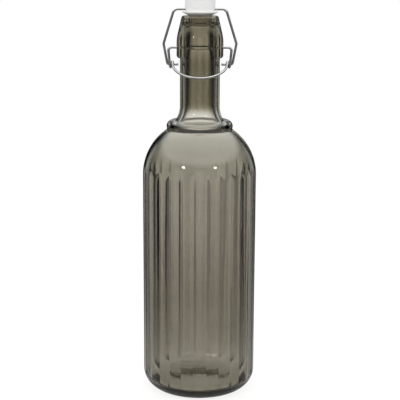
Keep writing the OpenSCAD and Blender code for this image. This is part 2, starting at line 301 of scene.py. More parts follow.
def body_rows():
    """Rows of the outer surface from the base to the neck, as (radius, height)."""
    hollow_sphere_r = (HOLLOW_R ** 2 + HOLLOW_DEPTH ** 2) / (2 * HOLLOW_DEPTH)
    hollow_z = HOLLOW_DEPTH - hollow_sphere_r
    hollow_turn = math.degrees(math.acos(HOLLOW_R / hollow_sphere_r))
    cut = HOLLOW_EDGE_R * math.tan(math.radians((90 - hollow_turn) / 2))
    start = math.degrees(math.acos(POLE_R / hollow_sphere_r))
    end = math.degrees(math.acos((HOLLOW_R - cut) / hollow_sphere_r))
    rows = arc(0, hollow_z, hollow_sphere_r, 90, start, 1)
    rows += arc(0, hollow_z, hollow_sphere_r, start, end, HOLLOW_ROWS)
    rows += line(rows[-1], (HOLLOW_R + cut, 0), BASE_ROWS)
    rows += line(rows[-1], (BODY_R - HEEL_R, 0), BASE_ROWS)
    rows += arc(BODY_R - HEEL_R, HEEL_R, HEEL_R, -90, 0, HEEL_ROWS)
    rows += line(rows[-1], (BODY_R, BODY_H), BODY_ROWS)
    foot = circles_meet(SHOULDER_X, BODY_H, SHOULDER_R + RING_FOOT_R, RING_X, RING_Z, RING_R + RING_FOOT_R, -1)
    head = circles_meet(RING_X, RING_Z, RING_R + RING_HEAD_R, FLARE_X, FLARE_Z, FLARE_R - RING_HEAD_R, 1)
    rows += arc(SHOULDER_X, BODY_H, SHOULDER_R, 0, angle_to(SHOULDER_X, BODY_H, *foot), SHOULDER_ROWS)
    rows += arc(*foot, RING_FOOT_R, angle_to(*foot, SHOULDER_X, BODY_H), angle_to(*foot, RING_X, RING_Z),
                RING_FILLET_ROWS)
    ring_start, ring_end = angle_to(RING_X, RING_Z, *foot), angle_to(RING_X, RING_Z, *head)
    rows += arc(RING_X, RING_Z, RING_R, ring_start - 360, ring_end, RING_ROWS)
    head_end = angle_to(FLARE_X, FLARE_Z, *head)
    rows += arc(*head, RING_HEAD_R, angle_to(*head, RING_X, RING_Z), head_end, RING_FILLET_ROWS)
    rows += arc(FLARE_X, FLARE_Z, FLARE_R, head_end, 180, FLARE_ROWS)
    return rows


def edge_r(h):
    """Rounding of the collar's lower edge where the arch is h high."""
    return EAR_EDGE_R + (ARCH_EDGE_R - EAR_EDGE_R) * (h / ARCH_H)


def collar_rows():
    """Rows of the collar's lower edge, as functions that give (radius, height) where the arch is h high."""
    def fillet(h, turn):
        return NECK_R + LEDGE_FILLET_R * (1 + math.cos(turn)), COLLAR_Z + h + LEDGE_FILLET_R * (math.sin(turn) - 1)

    def ledge(h, share):
        start, end = NECK_R + LEDGE_FILLET_R, COLLAR_R - min(edge_r(h), EDGE_WIDEST)
        return start + (end - start) * share, COLLAR_Z + h

    def rounded(h, turn):
        wide, high = min(edge_r(h), EDGE_WIDEST), edge_r(h)
        return COLLAR_R - wide * (1 - math.cos(turn)), COLLAR_Z + h + high * (1 + math.sin(turn))

    rows = [lambda h, a=a: fillet(h, math.radians(a)) for a in FILLET_TURNS]
    rows += [lambda h, s=s: ledge(h, s) for s in LEDGE_SHARES]
    rows += [lambda h, a=a: rounded(h, math.radians(a)) for a in EDGE_TURNS]
    return rows


def mouth_rows():
    """Rows from the collar's knee up to the top of the lip, as (radius, height)."""
    lip = arc(MOUTH_R - LIP_R, LIP_Z, LIP_R, TAPER, 90, LIP_ROWS)
    turn = math.radians(TAPER)
    lip_start = (MOUTH_R - LIP_R + LIP_R * math.cos(turn), LIP_Z + LIP_R * math.sin(turn))
    rows = arc(COLLAR_R - COLLAR_KNEE_R, KNEE_FOOT_Z, COLLAR_KNEE_R, 0, TAPER, KNEE_ROWS)
    rows += line(rows[-1], lip_start, TAPER_ROWS)
    rows += lip + line(lip[-1], (BORE_R + LIP_R, MOUTH_Z), LIP_TOP_ROWS)
    return rows


def inner_rows():
    """Rows from the lip down the bore to the middle of the floor, as (radius, height)."""
    throat_end = angle_to(THROAT_X, THROAT_Z, SHOULDER_X, BODY_H)
    rows = arc(BORE_R + LIP_R, LIP_Z, LIP_R, 90, 180, INNER_LIP_ROWS)
    rows += line(rows[-1], (BORE_R, WIDEN_Z), BORE_ROWS)
    widen_turn = math.degrees(math.acos(1 - WIDEN_W / (2 * WIDEN_R)))
    rows += arc(BORE_R + WIDEN_R, WIDEN_Z, WIDEN_R, 180, 180 + widen_turn, WIDEN_ROWS)
    rows += arc(NECK_BORE_R - WIDEN_R, WIDEN_FOOT_Z, WIDEN_R, widen_turn, 0, WIDEN_ROWS)
    rows += line(rows[-1], (NECK_BORE_R, THROAT_Z), NECK_BORE_ROWS)
    rows += arc(THROAT_X, THROAT_Z, THROAT_R, 180, throat_end, THROAT_ROWS)
    rows += arc(SHOULDER_X, BODY_H, INNER_SHOULDER_R, throat_end - 180, 0, INNER_SHOULDER_ROWS)
    rows += line(rows[-1], (INNER_R, FLOOR_T + FLOOR_CORNER_R), INNER_BODY_ROWS)
    rows += arc(INNER_R - FLOOR_CORNER_R, FLOOR_T + FLOOR_CORNER_R, FLOOR_CORNER_R, 0, -90, FLOOR_CORNER_ROWS)
    rows += line(rows[-1], (POLE_R, FLOOR_T), FLOOR_ROWS)
    return rows


def waviness(turn, z, size, height):
    """Unevenness of the blown inner wall, the same in each run."""
    a = math.radians(turn)
    place = Vector((math.sin(a) * INNER_R, math.cos(a) * INNER_R, z * WAVE_STRETCH)) / size
    return height * noise.noise(place)


def inner_wave(r, z, turn):
    """How far the inner surface is off its turned shape at a place, outward and upward."""
    if z > FLOOR_T + FLOOR_MARGIN:
        size, height = WALL_WAVE if r > BORE_R + 1 else BORE_WAVE
        down, up = LIP_Z - WAVE_UNDER_LIP - z, z - FLOOR_T - FLOOR_CORNER_R
        share = smooth_step(down / WAVE_FADE) * smooth_step(up / WAVE_FADE)
        return share * waviness(turn, z, size, height), 0.0
    size, height = WALL_WAVE
    share = smooth_step((INNER_R - FLOOR_CORNER_R - r) / FLOOR_WAVE_FADE)
    a = math.radians(turn)
    return 0.0, share * height * noise.noise(Vector((r * math.sin(a), r * math.cos(a), FLOOR_WAVE_SEED)) / size)


class Shell:
    """Vertices and faces of a round shell in rows and columns, in millimetres."""

    def __init__(self):
        self.verts, self.faces, self.rows = [], [], []

    def add_row(self, points):
        """points are (radius, height, angle from the front)."""
        first = len(self.verts)
        for r, z, turn in points:
            a = math.radians(turn)
            self.verts.append((r * math.sin(a), -r * math.cos(a), z))
        self.rows.append(list(range(first, len(self.verts))))

    def loop(self, points):
        """Points outside the rows, as a list of their numbers."""
        first = len(self.verts)
        self.verts += points
        return list(range(first, len(self.verts)))

    def join(self, outer, inner):
        """Faces between two loops of as many points."""
        count = len(outer)
        self.faces += [(outer[i], outer[(i + 1) % count], inner[(i + 1) % count], inner[i]) for i in range(count)]

    def fan(self, loop, centre, outward):
        """Triangles that close a loop."""
        count = len(loop)
        for i in range(count):
            a, b = loop[i], loop[(i + 1) % count]
            self.faces.append((a, b, centre) if outward else (centre, b, a))

    def skin(self, skipped=()):
        """Faces between all rows, except in skipped, a set of (row, column)."""
        for i in range(len(self.rows) - 1):
            low, high = self.rows[i], self.rows[i + 1]
            count = len(low)
            for j in range(count):
                if (i, j) not in skipped:
                    k = (j + 1) % count
                    self.faces.append((low[j], low[k], high[k], high[j]))

    def patch(self, row_from, row_to, col_from, col_to):
        """The cells of a rectangle and its edge, as an anticlockwise loop seen from outside."""
        cells = {(i, j % len(self.rows[0])) for i in range(row_from, row_to) for j in range(col_from, col_to)}
        count = len(self.rows[0])
        edge = [(row_from, j) for j in range(col_from, col_to)]
        edge += [(i, col_to) for i in range(row_from, row_to)]
        edge += [(row_to, j) for j in range(col_to, col_from, -1)]
        edge += [(i, col_from) for i in range(row_to, row_from, -1)]
        return cells, [self.rows[i][j % count] for i, j in edge]

    def drill(self, edge, side, height, radius, bottom_x, surface_x, capped=True):
        """A round hole along X with a soft rim, and its last ring. surface_x(y, z) gives the surface's X."""
        angles = []
        for v in edge:
            x, y, z = self.verts[v]
            angles.append(math.atan2(z - height, side * y))
        outer = [(self.verts[v][1], self.verts[v][2]) for v in edge]
        last = edge
        for share in FUNNEL_SHARES:
            ring = []
            for (y, z), a in zip(outer, angles):
                end_y, end_z = side * (radius + RIM_R) * math.cos(a), height + (radius + RIM_R) * math.sin(a)
                py, pz = y + (end_y - y) * share, z + (end_z - z) * share
                ring.append((side * surface_x(py, pz), py, pz))
            ring = self.loop(ring)
            self.join(last, ring)
            last = ring
        for turn in RIM_TURNS:
            t = math.radians(turn)
            r = radius + RIM_R * (1 - math.sin(t))
            sunk = RIM_R * (1 - math.cos(t))
            ring = []
            for a in angles:
                y, z = side * r * math.cos(a), height + r * math.sin(a)
                ring.append((side * (surface_x(y, z) - sunk), y, z))
            ring = self.loop(ring)
            self.join(last, ring)
            last = ring
        start_x = abs(self.verts[last[0]][0])
        for share in HOLE_SHARES:
            x = start_x + (bottom_x - start_x) * share
            ring = self.loop([(side * x, side * radius * math.cos(a), height + radius * math.sin(a)) for a in angles])
            self.join(last, ring)
            last = ring
        if not capped:
            return last
        for share in CAP_SHARES:
            r = share * radius
            ring = self.loop([(side * bottom_x, side * r * math.cos(a), height + r * math.sin(a)) for a in angles])
            self.join(last, ring)
            last = ring
        self.fan(last, self.loop([(side * bottom_x, 0.0, height)])[0], True)
        return last

    def object(self, name, sharp=SHARP_GLASS):
        """The mesh as an object in the scene. Edges over sharp degrees stay sharp."""
        mesh = bpy.data.meshes.new(name)
        mesh.from_pydata([tuple(c * MM for c in v) for v in self.verts], [], self.faces)
        mesh.validate()
        mesh.polygons.foreach_set("use_smooth", [True] * len(mesh.polygons))
        mesh.set_sharp_from_angle(angle=math.radians(sharp))
        obj = bpy.data.objects.new(name, mesh)
        bpy.context.scene.collection.objects.link(obj)
        return obj


def add_body(shell, ribs):
    """Rows from the base to the neck, with ribs that run out at the heel and at the shoulder."""
    rib_rs = [rib_radius(t) for t in ribs]
    for r, z in body_rows():
        if r > GROOVE_R - 2 * RUN_OUT_ROUND and z < RING_Z - RING_T:
            shell.add_row([(smooth_min(r, rib_r, RUN_OUT_ROUND), z, t) for rib_r, t in zip(rib_rs, ribs)])
        else:
            shell.add_row([(r, z, t) for t in ribs])


def add_neck_and_collar(shell, ribs, crowded):
    """Rows from the neck up to the collar's knee, and the number of the first one over the collar's edge."""
    heights = [arch_height(t) for t in crowded]
    for i in range(1, NECK_ROWS):
        share = i / NECK_ROWS
        step = smooth_step(share)
        points = []
        for h, rib, t in zip(heights, ribs, crowded):
            top = COLLAR_Z + h - LEDGE_FILLET_R
            turn = rib + step * turn_between(t + shear(t, NECK_R), rib)
            points.append((NECK_R, FLARE_Z + (top - FLARE_Z) * share, turn))
        shell.add_row(points)
    for row in collar_rows():
        points = []
        for h, t in zip(heights, crowded):
            r, z = row(h)
            points.append((r, z, t + shear(t, min(r, COLLAR_R))))
        shell.add_row(points)
    first_straight = len(shell.rows)
    starts = [COLLAR_Z + h + edge_r(h) for h in heights]
    for i in range(1, STRAIGHT_ROWS + 1):
        share = i / STRAIGHT_ROWS
        shell.add_row([(COLLAR_R, start + (KNEE_FOOT_Z - start) * share, t) for start, t in zip(starts, crowded)])
    return first_straight


def add_mouth_and_inside(shell, ribs, crowded):
    """Rows over the lip and down the uneven inner surface, whose columns go back to those of the ribs."""
    outside = mouth_rows()
    for i, (r, z) in enumerate(outside + inner_rows()):
        step = 1 - smooth_step((i + 1) / COLUMN_RETURN_ROWS)
        points = []
        for rib, crowd in zip(ribs, crowded):
            t = rib + step * turn_between(crowd, rib)
            out, up = inner_wave(r, z, t) if i >= len(outside) else (0.0, 0.0)
            points.append((r + out, z + up, t))
        shell.add_row(points)


def socket_patch(shell, crowded, turn, first_straight):
    """The cells that a wire socket at an angle from the front takes out of the collar, and the loop round them."""
    count = len(crowded)
    near = min(range(count), key=lambda j: abs(turn_between(crowded[j], turn)))
    reach = 0
    while COLLAR_R * math.radians(abs(turn_between(crowded[(near + reach) % count], turn))) < PATCH_REACH:
        reach += 1
    rows_in = [i for i in range(first_straight - PATCH_ROWS_BELOW, first_straight + STRAIGHT_ROWS)
               if abs(shell.verts[shell.rows[i][near]][2] - SOCKET_Z) < PATCH_REACH]
    return shell.patch(rows_in[0], rows_in[-1], near - reach, near + reach)


def make_glass():
    """The whole bottle as one closed mesh: outer surface, mouth, inner surface, and the two wire sockets."""
    ribs = rib_columns()
    crowded = crowded_columns(ribs)
    shell = Shell()
    add_body(shell, ribs)
    first_straight = add_neck_and_collar(shell, ribs, crowded)
    add_mouth_and_inside(shell, ribs, crowded)
    patches = [socket_patch(shell, crowded, turn, first_straight) for _, turn in SIDES]
    shell.skin(patches[0][0] | patches[1][0])
    for (side, _), (_, loop) in zip(SIDES, patches):
        shell.drill(loop, side, SOCKET_Z, SOCKET_R, COLLAR_R - SOCKET_DEPTH,
                    lambda y, z: math.sqrt(COLLAR_R ** 2 - y ** 2))
    low, high = shell.loop([(0.0, 0.0, HOLLOW_DEPTH)])[0], shell.loop([(0.0, 0.0, FLOOR_T)])[0]
    shell.fan(shell.rows[0], low, False)
    shell.fan(shell.rows[-1], high, True)
    return shell.object("glass_body")


# Wires, stopper and gasket
WIRE_R = 0.95
END_GAP = 0.3
LEVER_X = 24.2
LEVER_BEND_R = 2.5
EYE_X = 22.7
EYE_Y = 1.9
EYE_DROP = 13.0
EYE_R = 2.1
EYE_BEND_R = 1.95
STRAND_X = 20.65
HANDLE_RUN = 3.4
HANDLE_SLOPE = 26.0
BAIL_TOP_X = 19.6
BAIL_TOP_R = 4.0
BAIL_WIDE_X = 27.7
BAIL_WIDE_H = 15.8
BAIL_WIDE_R = 4.0
BAIL_FOOT_X = 24.75
BAIL_FOOT_END = 16.4
BAIL_FOOT_R = 2.0
SEAT_GAP = 0.35
GASKET_SLOPE = 25.0
GASKET_R = 13.4
GASKET_T = 3.5
GASKET_RIM_T = 1.2
PLUG_R = 6.6
PLUG_H = 7.2
PLUG_EDGE_R = 2.4
STEM_R = 3.5
HEAD_R = 11.4
HEAD_H = 15.5
HEAD_FOOT_R = 10.4
HEAD_FOOT_H = 3.6
HEAD_EDGE_R = 3.0
BAR_H = 2.2
PIN_GAP = 0.08

SLOPE = math.tan(math.radians(GASKET_SLOPE))
SLOPE_Z = LIP_Z + (LIP_R + SEAT_GAP) / math.cos(math.radians(GASKET_SLOPE)) - (BORE_R + LIP_R) * SLOPE
GASKET_Z = SLOPE_Z + PLUG_R * SLOPE
GASKET_RIM_Z = SLOPE_Z + GASKET_R * SLOPE
HEAD_Z = GASKET_Z + GASKET_T
HEAD_TOP_Z = HEAD_Z + HEAD_H
PLUG_Z = GASKET_Z - PLUG_H
BAR_Z = HEAD_Z + BAR_H
EYE_Z = SOCKET_Z - EYE_DROP

# How finely the wires and the turned pieces are divided. Bends go in steps of degrees, and turns in radians and
# steps in millimetres under LEAST_STEP are left out
BEND_STEP = 7.0
PROFILE_BEND_STEP = 8.0
LEAST_STEP = 1e-4
WIRE_STEP = 0.8
WIRE_SIDES = 24
WIRE_END_R = 0.25
WIRE_END_TURNS = (0, 30, 60, 90)
BOW_STEPS = 60
LATHE_COLUMNS = 96
STOPPER_POLE_R = 0.6
HEAD_PATCH = 1.6
HEAD_PATCH_COLUMNS = 3
HEAD_FOOT_MARGIN = 0.5
HOLE_END_X = HEAD_R / 4

# Radii of the bends along the profiles of stopper and gasket
STOPPER_BENDS = (0, PLUG_EDGE_R, 0.3, 0.2, 0.2, 0.7, 3.0, HEAD_EDGE_R, 0)
GASKET_BENDS = (0, 1.2, 0.45, 0.45, 1.5, 0.3, 0.3, 0)


def rounded_path(points, bends, step=BEND_STEP):
    """A line through points with an arc of its own radius at each inner one, as close points. step in degrees."""
    points = [Vector(p) for p in points]
    path = [points[0]]
    for i in range(1, len(points) - 1):
        before = (points[i] - points[i - 1]).normalized()
        after = (points[i + 1] - points[i]).normalized()
        turn = before.angle(after)
        if bends[i] <= 0 or turn < LEAST_STEP:
            path.append(points[i])
            continue
        cut = bends[i] * math.tan(turn / 2)
        inward = (after - after.dot(before) * before).normalized()
        start = points[i] - cut * before
        centre = start + bends[i] * inward
        steps = max(2, math.ceil(math.degrees(turn) / step))
        for k in range(steps + 1):
            a = turn * k / steps
            path.append(centre + bends[i] * (before * math.sin(a) - inward * math.cos(a)))
    path.append(points[-1])
    spaced = [path[0]]
    for p in path[1:]:
        gap = (p - spaced[-1]).length
        if gap < LEAST_STEP:
            continue
        pieces = max(1, round(gap / WIRE_STEP))
        start = spaced[-1]
        spaced += [start + (p - start) * k / pieces for k in range(1, pieces + 1)]
    return spaced


def make_wire(name, path):
    """A round wire along a path, with slightly rounded ends. Its UV map runs round and along the wire."""
    tangents = []
    for i in range(len(path)):
        before, after = path[max(i - 1, 0)], path[min(i + 1, len(path) - 1)]
        tangents.append((after - before).normalized())
    side = tangents[0].orthogonal().normalized()
    rings, lengths, run = [], [], 0.0
    for i, point in enumerate(path):
        if i:
            side = (side - side.dot(tangents[i]) * tangents[i]).normalized()
            run += (point - path[i - 1]).length
        rings.append((point, side.copy(), tangents[i].cross(side), WIRE_R))
        lengths.append(run)
    ends = []
    for at, sign in ((0, -1), (len(path) - 1, 1)):
        point, side, up, r = rings[at]
        turned = [math.radians(a) for a in WIRE_END_TURNS]
        ends.append([(point + sign * tangents[at] * WIRE_END_R * (math.sin(a) - 1), side, up,
                      r - WIRE_END_R * (1 - math.cos(a))) for a in turned])
    rings = ends[0][::-1] + rings[1:-1] + ends[1]
    end_rings = len(WIRE_END_TURNS)
    lengths = [lengths[0]] * end_rings + lengths[1:-1] + [lengths[-1]] * end_rings
    verts, faces = [], []
    for point, side, up, r in rings:
        for k in range(WIRE_SIDES):
            a = 2 * math.pi * k / WIRE_SIDES
            verts.append(point + r * (math.cos(a) * side + math.sin(a) * up))
    for i in range(len(rings) - 1):
        for k in range(WIRE_SIDES):
            a, b = i * WIRE_SIDES, (i + 1) * WIRE_SIDES
            m = (k + 1) % WIRE_SIDES
            faces.append((a + k, a + m, b + m, b + k))
    faces.append(tuple(reversed(range(WIRE_SIDES))))
    faces.append(tuple(range(len(verts) - WIRE_SIDES, len(verts))))
    mesh = bpy.data.meshes.new(name)
    mesh.from_pydata([tuple(v * MM) for v in verts], [], faces)
    uv = mesh.uv_layers.new(name="wire")
    for polygon in mesh.polygons:
        ks = [mesh.loops[l].vertex_index % WIRE_SIDES for l in polygon.loop_indices]
        wraps = max(ks) == WIRE_SIDES - 1 and min(ks) == 0
        for l, k in zip(polygon.loop_indices, ks):
            ring = mesh.loops[l].vertex_index // WIRE_SIDES
            uv.data[l].uv = ((k + (WIRE_SIDES if wraps and k == 0 else 0)) / WIRE_SIDES, lengths[ring] * MM)
    mesh.polygons.foreach_set("use_smooth", [True] * len(mesh.polygons))
    mesh.set_sharp_from_angle(angle=math.radians(SHARP_WIRE))
    obj = bpy.data.objects.new(name, mesh)
    bpy.context.scene.collection.objects.link(obj)
    return obj


def mirrored(path):
    """The same path on the other side of the bottle."""
    return [Vector((-p.x, p.y, p.z)) for p in path]


def lever_path():
    """From the right pin down the leg, round the eye, along the bow and back the same way on the left."""
    slope = math.radians(HANDLE_SLOPE)
    down = Vector((0, -math.cos(slope), -math.sin(slope)))
    step = (EYE_X - STRAND_X) / 3
    leave = Vector((STRAND_X, EYE_Y - EYE_R * math.tan(slope / 2), EYE_Z + EYE_R))
    start = leave + HANDLE_RUN * down
    points = [
        (COLLAR_R - SOCKET_DEPTH + END_GAP, 0, SOCKET_Z),
        (LEVER_X, 0, SOCKET_Z),
        (EYE_X, EYE_Y - EYE_R, EYE_Z - EYE_R),
        (EYE_X - step, EYE_Y + EYE_R, EYE_Z - EYE_R),
        (EYE_X - 2 * step, EYE_Y + EYE_R, EYE_Z + EYE_R),
        leave,
        start,
    ]
    half = rounded_path(points, (0, LEVER_BEND_R, EYE_BEND_R, EYE_BEND_R, EYE_BEND_R, EYE_BEND_R, 0))
    centre = Vector((0, start.y, start.z))
    turns = [math.pi * i / BOW_STEPS for i in range(1, BOW_STEPS)]
    bow = [centre + STRAND_X * (math.cos(a) * Vector((1, 0, 0)) + math.sin(a) * down) for a in turns]
    return half + bow + mirrored(half)[::-1]


def bail_path():
    """From the left foot over the crossbar to the right foot."""
    wide_z = EYE_Z + BAIL_WIDE_H
    wide_y = EYE_Y * (BAR_Z - wide_z) / (BAR_Z - EYE_Z)
    points = [
        (0, 0, BAR_Z),
        (BAIL_TOP_X, 0, BAR_Z),
        (BAIL_WIDE_X, wide_y, wide_z),
        (BAIL_FOOT_X, EYE_Y, EYE_Z),
        (BAIL_FOOT_END, EYE_Y, EYE_Z),
    ]
    half = rounded_path(points, (0, BAIL_TOP_R, BAIL_WIDE_R, BAIL_FOOT_R, 0))
    return mirrored(half)[:0:-1] + half


def lathe(shell, profile, columns):
    """Rows of a turned piece. profile is a list of (radius, height) from low to high, outside only."""
    for r, z in profile:
        shell.add_row([(r, z, t) for t in columns])


def flat_path(points, bends):
    """The same as rounded_path, in the plane of a profile."""
    path = rounded_path([(r, 0, z) for r, z in points], bends, PROFILE_BEND_STEP)
    return [(p.x, p.z) for p in path]


def make_stopper():
    """Head with a cross hole for the bail, stem and plug, as one turned and drilled piece."""
    columns = [360 * i / LATHE_COLUMNS for i in range(LATHE_COLUMNS)]
    profile = flat_path(
        [(STOPPER_POLE_R, PLUG_Z), (PLUG_R, PLUG_Z), (PLUG_R, GASKET_Z), (STEM_R, GASKET_Z), (STEM_R, HEAD_Z),
         (HEAD_FOOT_R, HEAD_Z), (HEAD_R, HEAD_Z + HEAD_FOOT_H), (HEAD_R, HEAD_TOP_Z), (STOPPER_POLE_R, HEAD_TOP_Z)],
        STOPPER_BENDS)
    shell = Shell()
    lathe(shell, profile, columns)
    zs = [z for _, z in profile]
    skipped, edges = set(), []
    first_head = next(i for i, (r, z) in enumerate(profile) if z > HEAD_Z and r > HEAD_FOOT_R - HEAD_FOOT_MARGIN)
    rows_in = [i for i in range(first_head, len(profile))
               if abs(zs[i] - BAR_Z) < HEAD_PATCH and profile[i][0] > HEAD_FOOT_R]
    for side, turn in SIDES:
        near = round(turn * LATHE_COLUMNS / 360)
        cells, loop = shell.patch(rows_in[0], rows_in[-1], near - HEAD_PATCH_COLUMNS, near + HEAD_PATCH_COLUMNS)
        skipped |= cells
        edges.append((side, loop))
    shell.skin(skipped)

    def surface(y, z):
        """How far out the head's surface is at a place across it."""
        for (r1, z1), (r2, z2) in zip(profile[first_head - 1:], profile[first_head:]):
            if z1 <= z <= z2 and z2 > z1:
                r = r1 + (r2 - r1) * (z - z1) / (z2 - z1)
                return math.sqrt(r * r - y * y)
        return math.sqrt(HEAD_R ** 2 - y * y)

    right, left = [shell.drill(loop, side, BAR_Z, WIRE_R + PIN_GAP, HOLE_END_X, surface, capped=False)
                   for side, loop in edges]
    shell.join(right, [left[(2 * HEAD_PATCH_COLUMNS - k) % len(left)] for k in range(len(left))])
    shell.fan(shell.rows[0], shell.loop([(0.0, 0.0, PLUG_Z)])[0], False)
    shell.fan(shell.rows[-1], shell.loop([(0.0, 0.0, HEAD_TOP_Z)])[0], True)
    return shell.object("stopper_body", sharp=SHARP_PLASTIC)


def make_gasket():
    """The washer: a closed ring with soft edges."""
    columns = [360 * i / LATHE_COLUMNS for i in range(LATHE_COLUMNS)]
    bore = STEM_R + PIN_GAP
    corners = [(bore, GASKET_Z), (PLUG_R, GASKET_Z), (GASKET_R, GASKET_RIM_Z), (GASKET_R, GASKET_RIM_Z + GASKET_RIM_T),
               (HEAD_FOOT_R, HEAD_Z), (bore, HEAD_Z)]
    start = ((bore + PLUG_R) / 2, GASKET_Z)
    loop = flat_path([start] + corners[1:] + [corners[0], start], GASKET_BENDS)[:-1]
    shell = Shell()
    lathe(shell, loop, columns)
    shell.skin()
    shell.join(shell.rows[-1], shell.rows[0])
    return shell.object("gasket_ring")


class Nodes:
    """Short calls for a node tree."""

    def __init__(self, tree):
        self.tree = tree
        tree.nodes.clear()

    def add(self, kind, inputs=None, **settings):
        node = self.tree.nodes.new(kind)
        for key, value in settings.items():
            setattr(node, key, value)
        for key, value in (inputs or {}).items():
            if isinstance(value, bpy.types.NodeSocket):
                self.tree.links.new(value, node.inputs[key])
            else:
                node.inputs[key].default_value = value
        return node

    def math(self, operation, *values):
        return self.add("ShaderNodeMath", dict(enumerate(values)), operation=operation).outputs[0]

    def ramp(self, factor, stops):
        """Colours along a factor. A stop is (place, colour), with a grey as one number."""
        node = self.add("ShaderNodeValToRGB", {0: factor})
        ramp = node.color_ramp
        ramp.interpolation = "LINEAR"
        while len(ramp.elements) < len(stops):
            ramp.elements.new(0.5)
        for element, (place, colour) in zip(ramp.elements, stops):
            element.position = place
            element.color = (colour,) * 3 + (1.0,) if isinstance(colour, float) else (*colour, 1.0)
        return node.outputs[0]

    def noise(self, vector, scale, detail=2.0, roughness=0.5):
        return self.add("ShaderNodeTexNoise", {"Vector": vector, "Scale": scale, "Detail": detail,
                                               "Roughness": roughness}).outputs["Fac"]

    def bump(self, height, strength, distance):
        return self.add("ShaderNodeBump", {"Strength": strength, "Distance": distance, "Height": height}).outputs[0]


def new_material(name):
    material = bpy.data.materials.new(name)
    material.use_nodes = True
    return material, Nodes(material.node_tree)


def fade(n, value, start, end, low=0.0, high=1.0):
    """A smooth step from low to high as value goes from start to end."""
    return n.add("ShaderNodeMapRange", {"Value": value, "From Min": start, "From Max": end, "To Min": low,
                                        "To Max": high}, interpolation_type="SMOOTHSTEP").outputs[0]


# Glass: its colour at heights over the base, partly its own smoky tone and partly painted light and shade: near white
# at the ring, a painted highlight of the light that comes through it from above, darker over the lower body, painted
# shade of the floor seen through the glass, and darker at the collar. Uneven by a slight cloud, and what its thickness
# takes away besides
GLASS_IOR = 1.5
GLASS_TINT_AND_LIGHT_FULL_H = 300.0
GLASS_TINTS_AND_PAINTED_LIGHT = (
    (0.0, (0.680, 0.670, 0.613)),
    (22.0, (0.627, 0.605, 0.544)),
    (60.0, (0.537, 0.510, 0.452)),
    (145.0, (0.642, 0.613, 0.560)),
    (195.0, (0.628, 0.619, 0.548)),
    (219.0, (0.995, 0.985, 0.950)),
    (226.0, (0.487, 0.465, 0.380)),
    (258.0, (0.439, 0.416, 0.342)),
    (272.0, (0.612, 0.586, 0.500)),
)
GLASS_CLOUD_NOISE = (28.0, 3.0)
GLASS_CLOUD_SPAN = (0.3, 0.7)
GLASS_CLOUD = (0.97, 1.03)
GLASS_SMEAR_NOISE = (55.0, 4.0, 0.6)
GLASS_SMEAR = ((0.35, 0.004), (0.8, 0.022))
GLASS_RIPPLE_NOISE = (140.0, 2.0)
GLASS_RIPPLE = (0.03, 0.001)
GLASS_ABSORB = (0.40, 0.37, 0.24)
GLASS_DENSITY = 60.0

# Wire: drawn marks along it, and spots
WIRE_MARKS = (9.0, 60.0, 1.0)
WIRE_MARK_NOISE = (1.0, 5.0, 0.65)
WIRE_SPOT_NOISE = (350.0, 3.0)
WIRE_SPOT_LIFT = 0.5
WIRE_COLOURS = ((0.3, (0.36, 0.36, 0.355)), (0.7, (0.56, 0.56, 0.55)))
WIRE_ROUGH = ((0.3, 0.2), (0.75, 0.36))
WIRE_BUMP = (0.15, 0.0001)


def glass_material():
    """Smoky clear glass, whose colour by height paints light and shade besides its own tone. Shadow rays and diffuse
    rays go straight through it and take only that colour.
    """
    material, n = new_material("smoked_glass")
    place = n.add("ShaderNodeTexCoord").outputs["Object"]
    height = n.add("ShaderNodeSeparateXYZ", {0: place}).outputs[2]
    # The ramp by height paints light and shade into the glass's colour: a painted highlight at the ring, painted shade
    # over the lower body
    stops = [(z / GLASS_TINT_AND_LIGHT_FULL_H, colour) for z, colour in GLASS_TINTS_AND_PAINTED_LIGHT]
    cloud = fade(n, n.noise(place, *GLASS_CLOUD_NOISE), *GLASS_CLOUD_SPAN, *GLASS_CLOUD)
    tint_and_painted_light = n.add("ShaderNodeVectorMath", {0: n.ramp(n.math("DIVIDE", height, GLASS_TINT_AND_LIGHT_FULL_H * MM), stops),
                                          "Scale": cloud}, operation="SCALE").outputs[0]
    smear = n.ramp(n.noise(place, *GLASS_SMEAR_NOISE), GLASS_SMEAR)
    ripple = n.bump(n.noise(place, *GLASS_RIPPLE_NOISE), *GLASS_RIPPLE)
    glass = n.add("ShaderNodeBsdfPrincipled", {
        "Base Color": tint_and_painted_light, "Roughness": smear, "IOR": GLASS_IOR, "Transmission Weight": 1.0, "Normal": ripple})
    clear = n.add("ShaderNodeBsdfTransparent", {"Color": tint_and_painted_light})
    path = n.add("ShaderNodeLightPath")
    unbent = n.math("MAXIMUM", path.outputs["Is Shadow Ray"], path.outputs["Is Diffuse Ray"])
    mixed = n.add("ShaderNodeMixShader", {0: unbent, 1: glass.outputs[0], 2: clear.outputs[0]})
    volume = n.add("ShaderNodeVolumeAbsorption", {"Color": (*GLASS_ABSORB, 1.0), "Density": GLASS_DENSITY})
    n.add("ShaderNodeOutputMaterial", {"Surface": mixed.outputs[0], "Volume": volume.outputs[0]})
    return material


def wire_material():
    """Bright drawn steel, with marks along the wire."""
    material, n = new_material("steel_wire")
    coords = n.add("ShaderNodeTexCoord")
    marks = n.add("ShaderNodeMapping", {"Vector": coords.outputs["UV"], "Scale": WIRE_MARKS}).outputs[0]
    drawn = n.noise(marks, *WIRE_MARK_NOISE)
    spots = n.noise(coords.outputs["Object"], *WIRE_SPOT_NOISE)
    colour = n.ramp(n.math("MULTIPLY", drawn, n.math("ADD", spots, WIRE_SPOT_LIFT)), WIRE_COLOURS)
    steel = n.add("ShaderNodeBsdfPrincipled", {"Base Color": colour, "Roughness": n.ramp(drawn, WIRE_ROUGH),
                                               "Metallic": 1.0, "Normal": n.bump(drawn, *WIRE_BUMP)})
    n.add("ShaderNodeOutputMaterial", {"Surface": steel.outputs[0]})
    return material


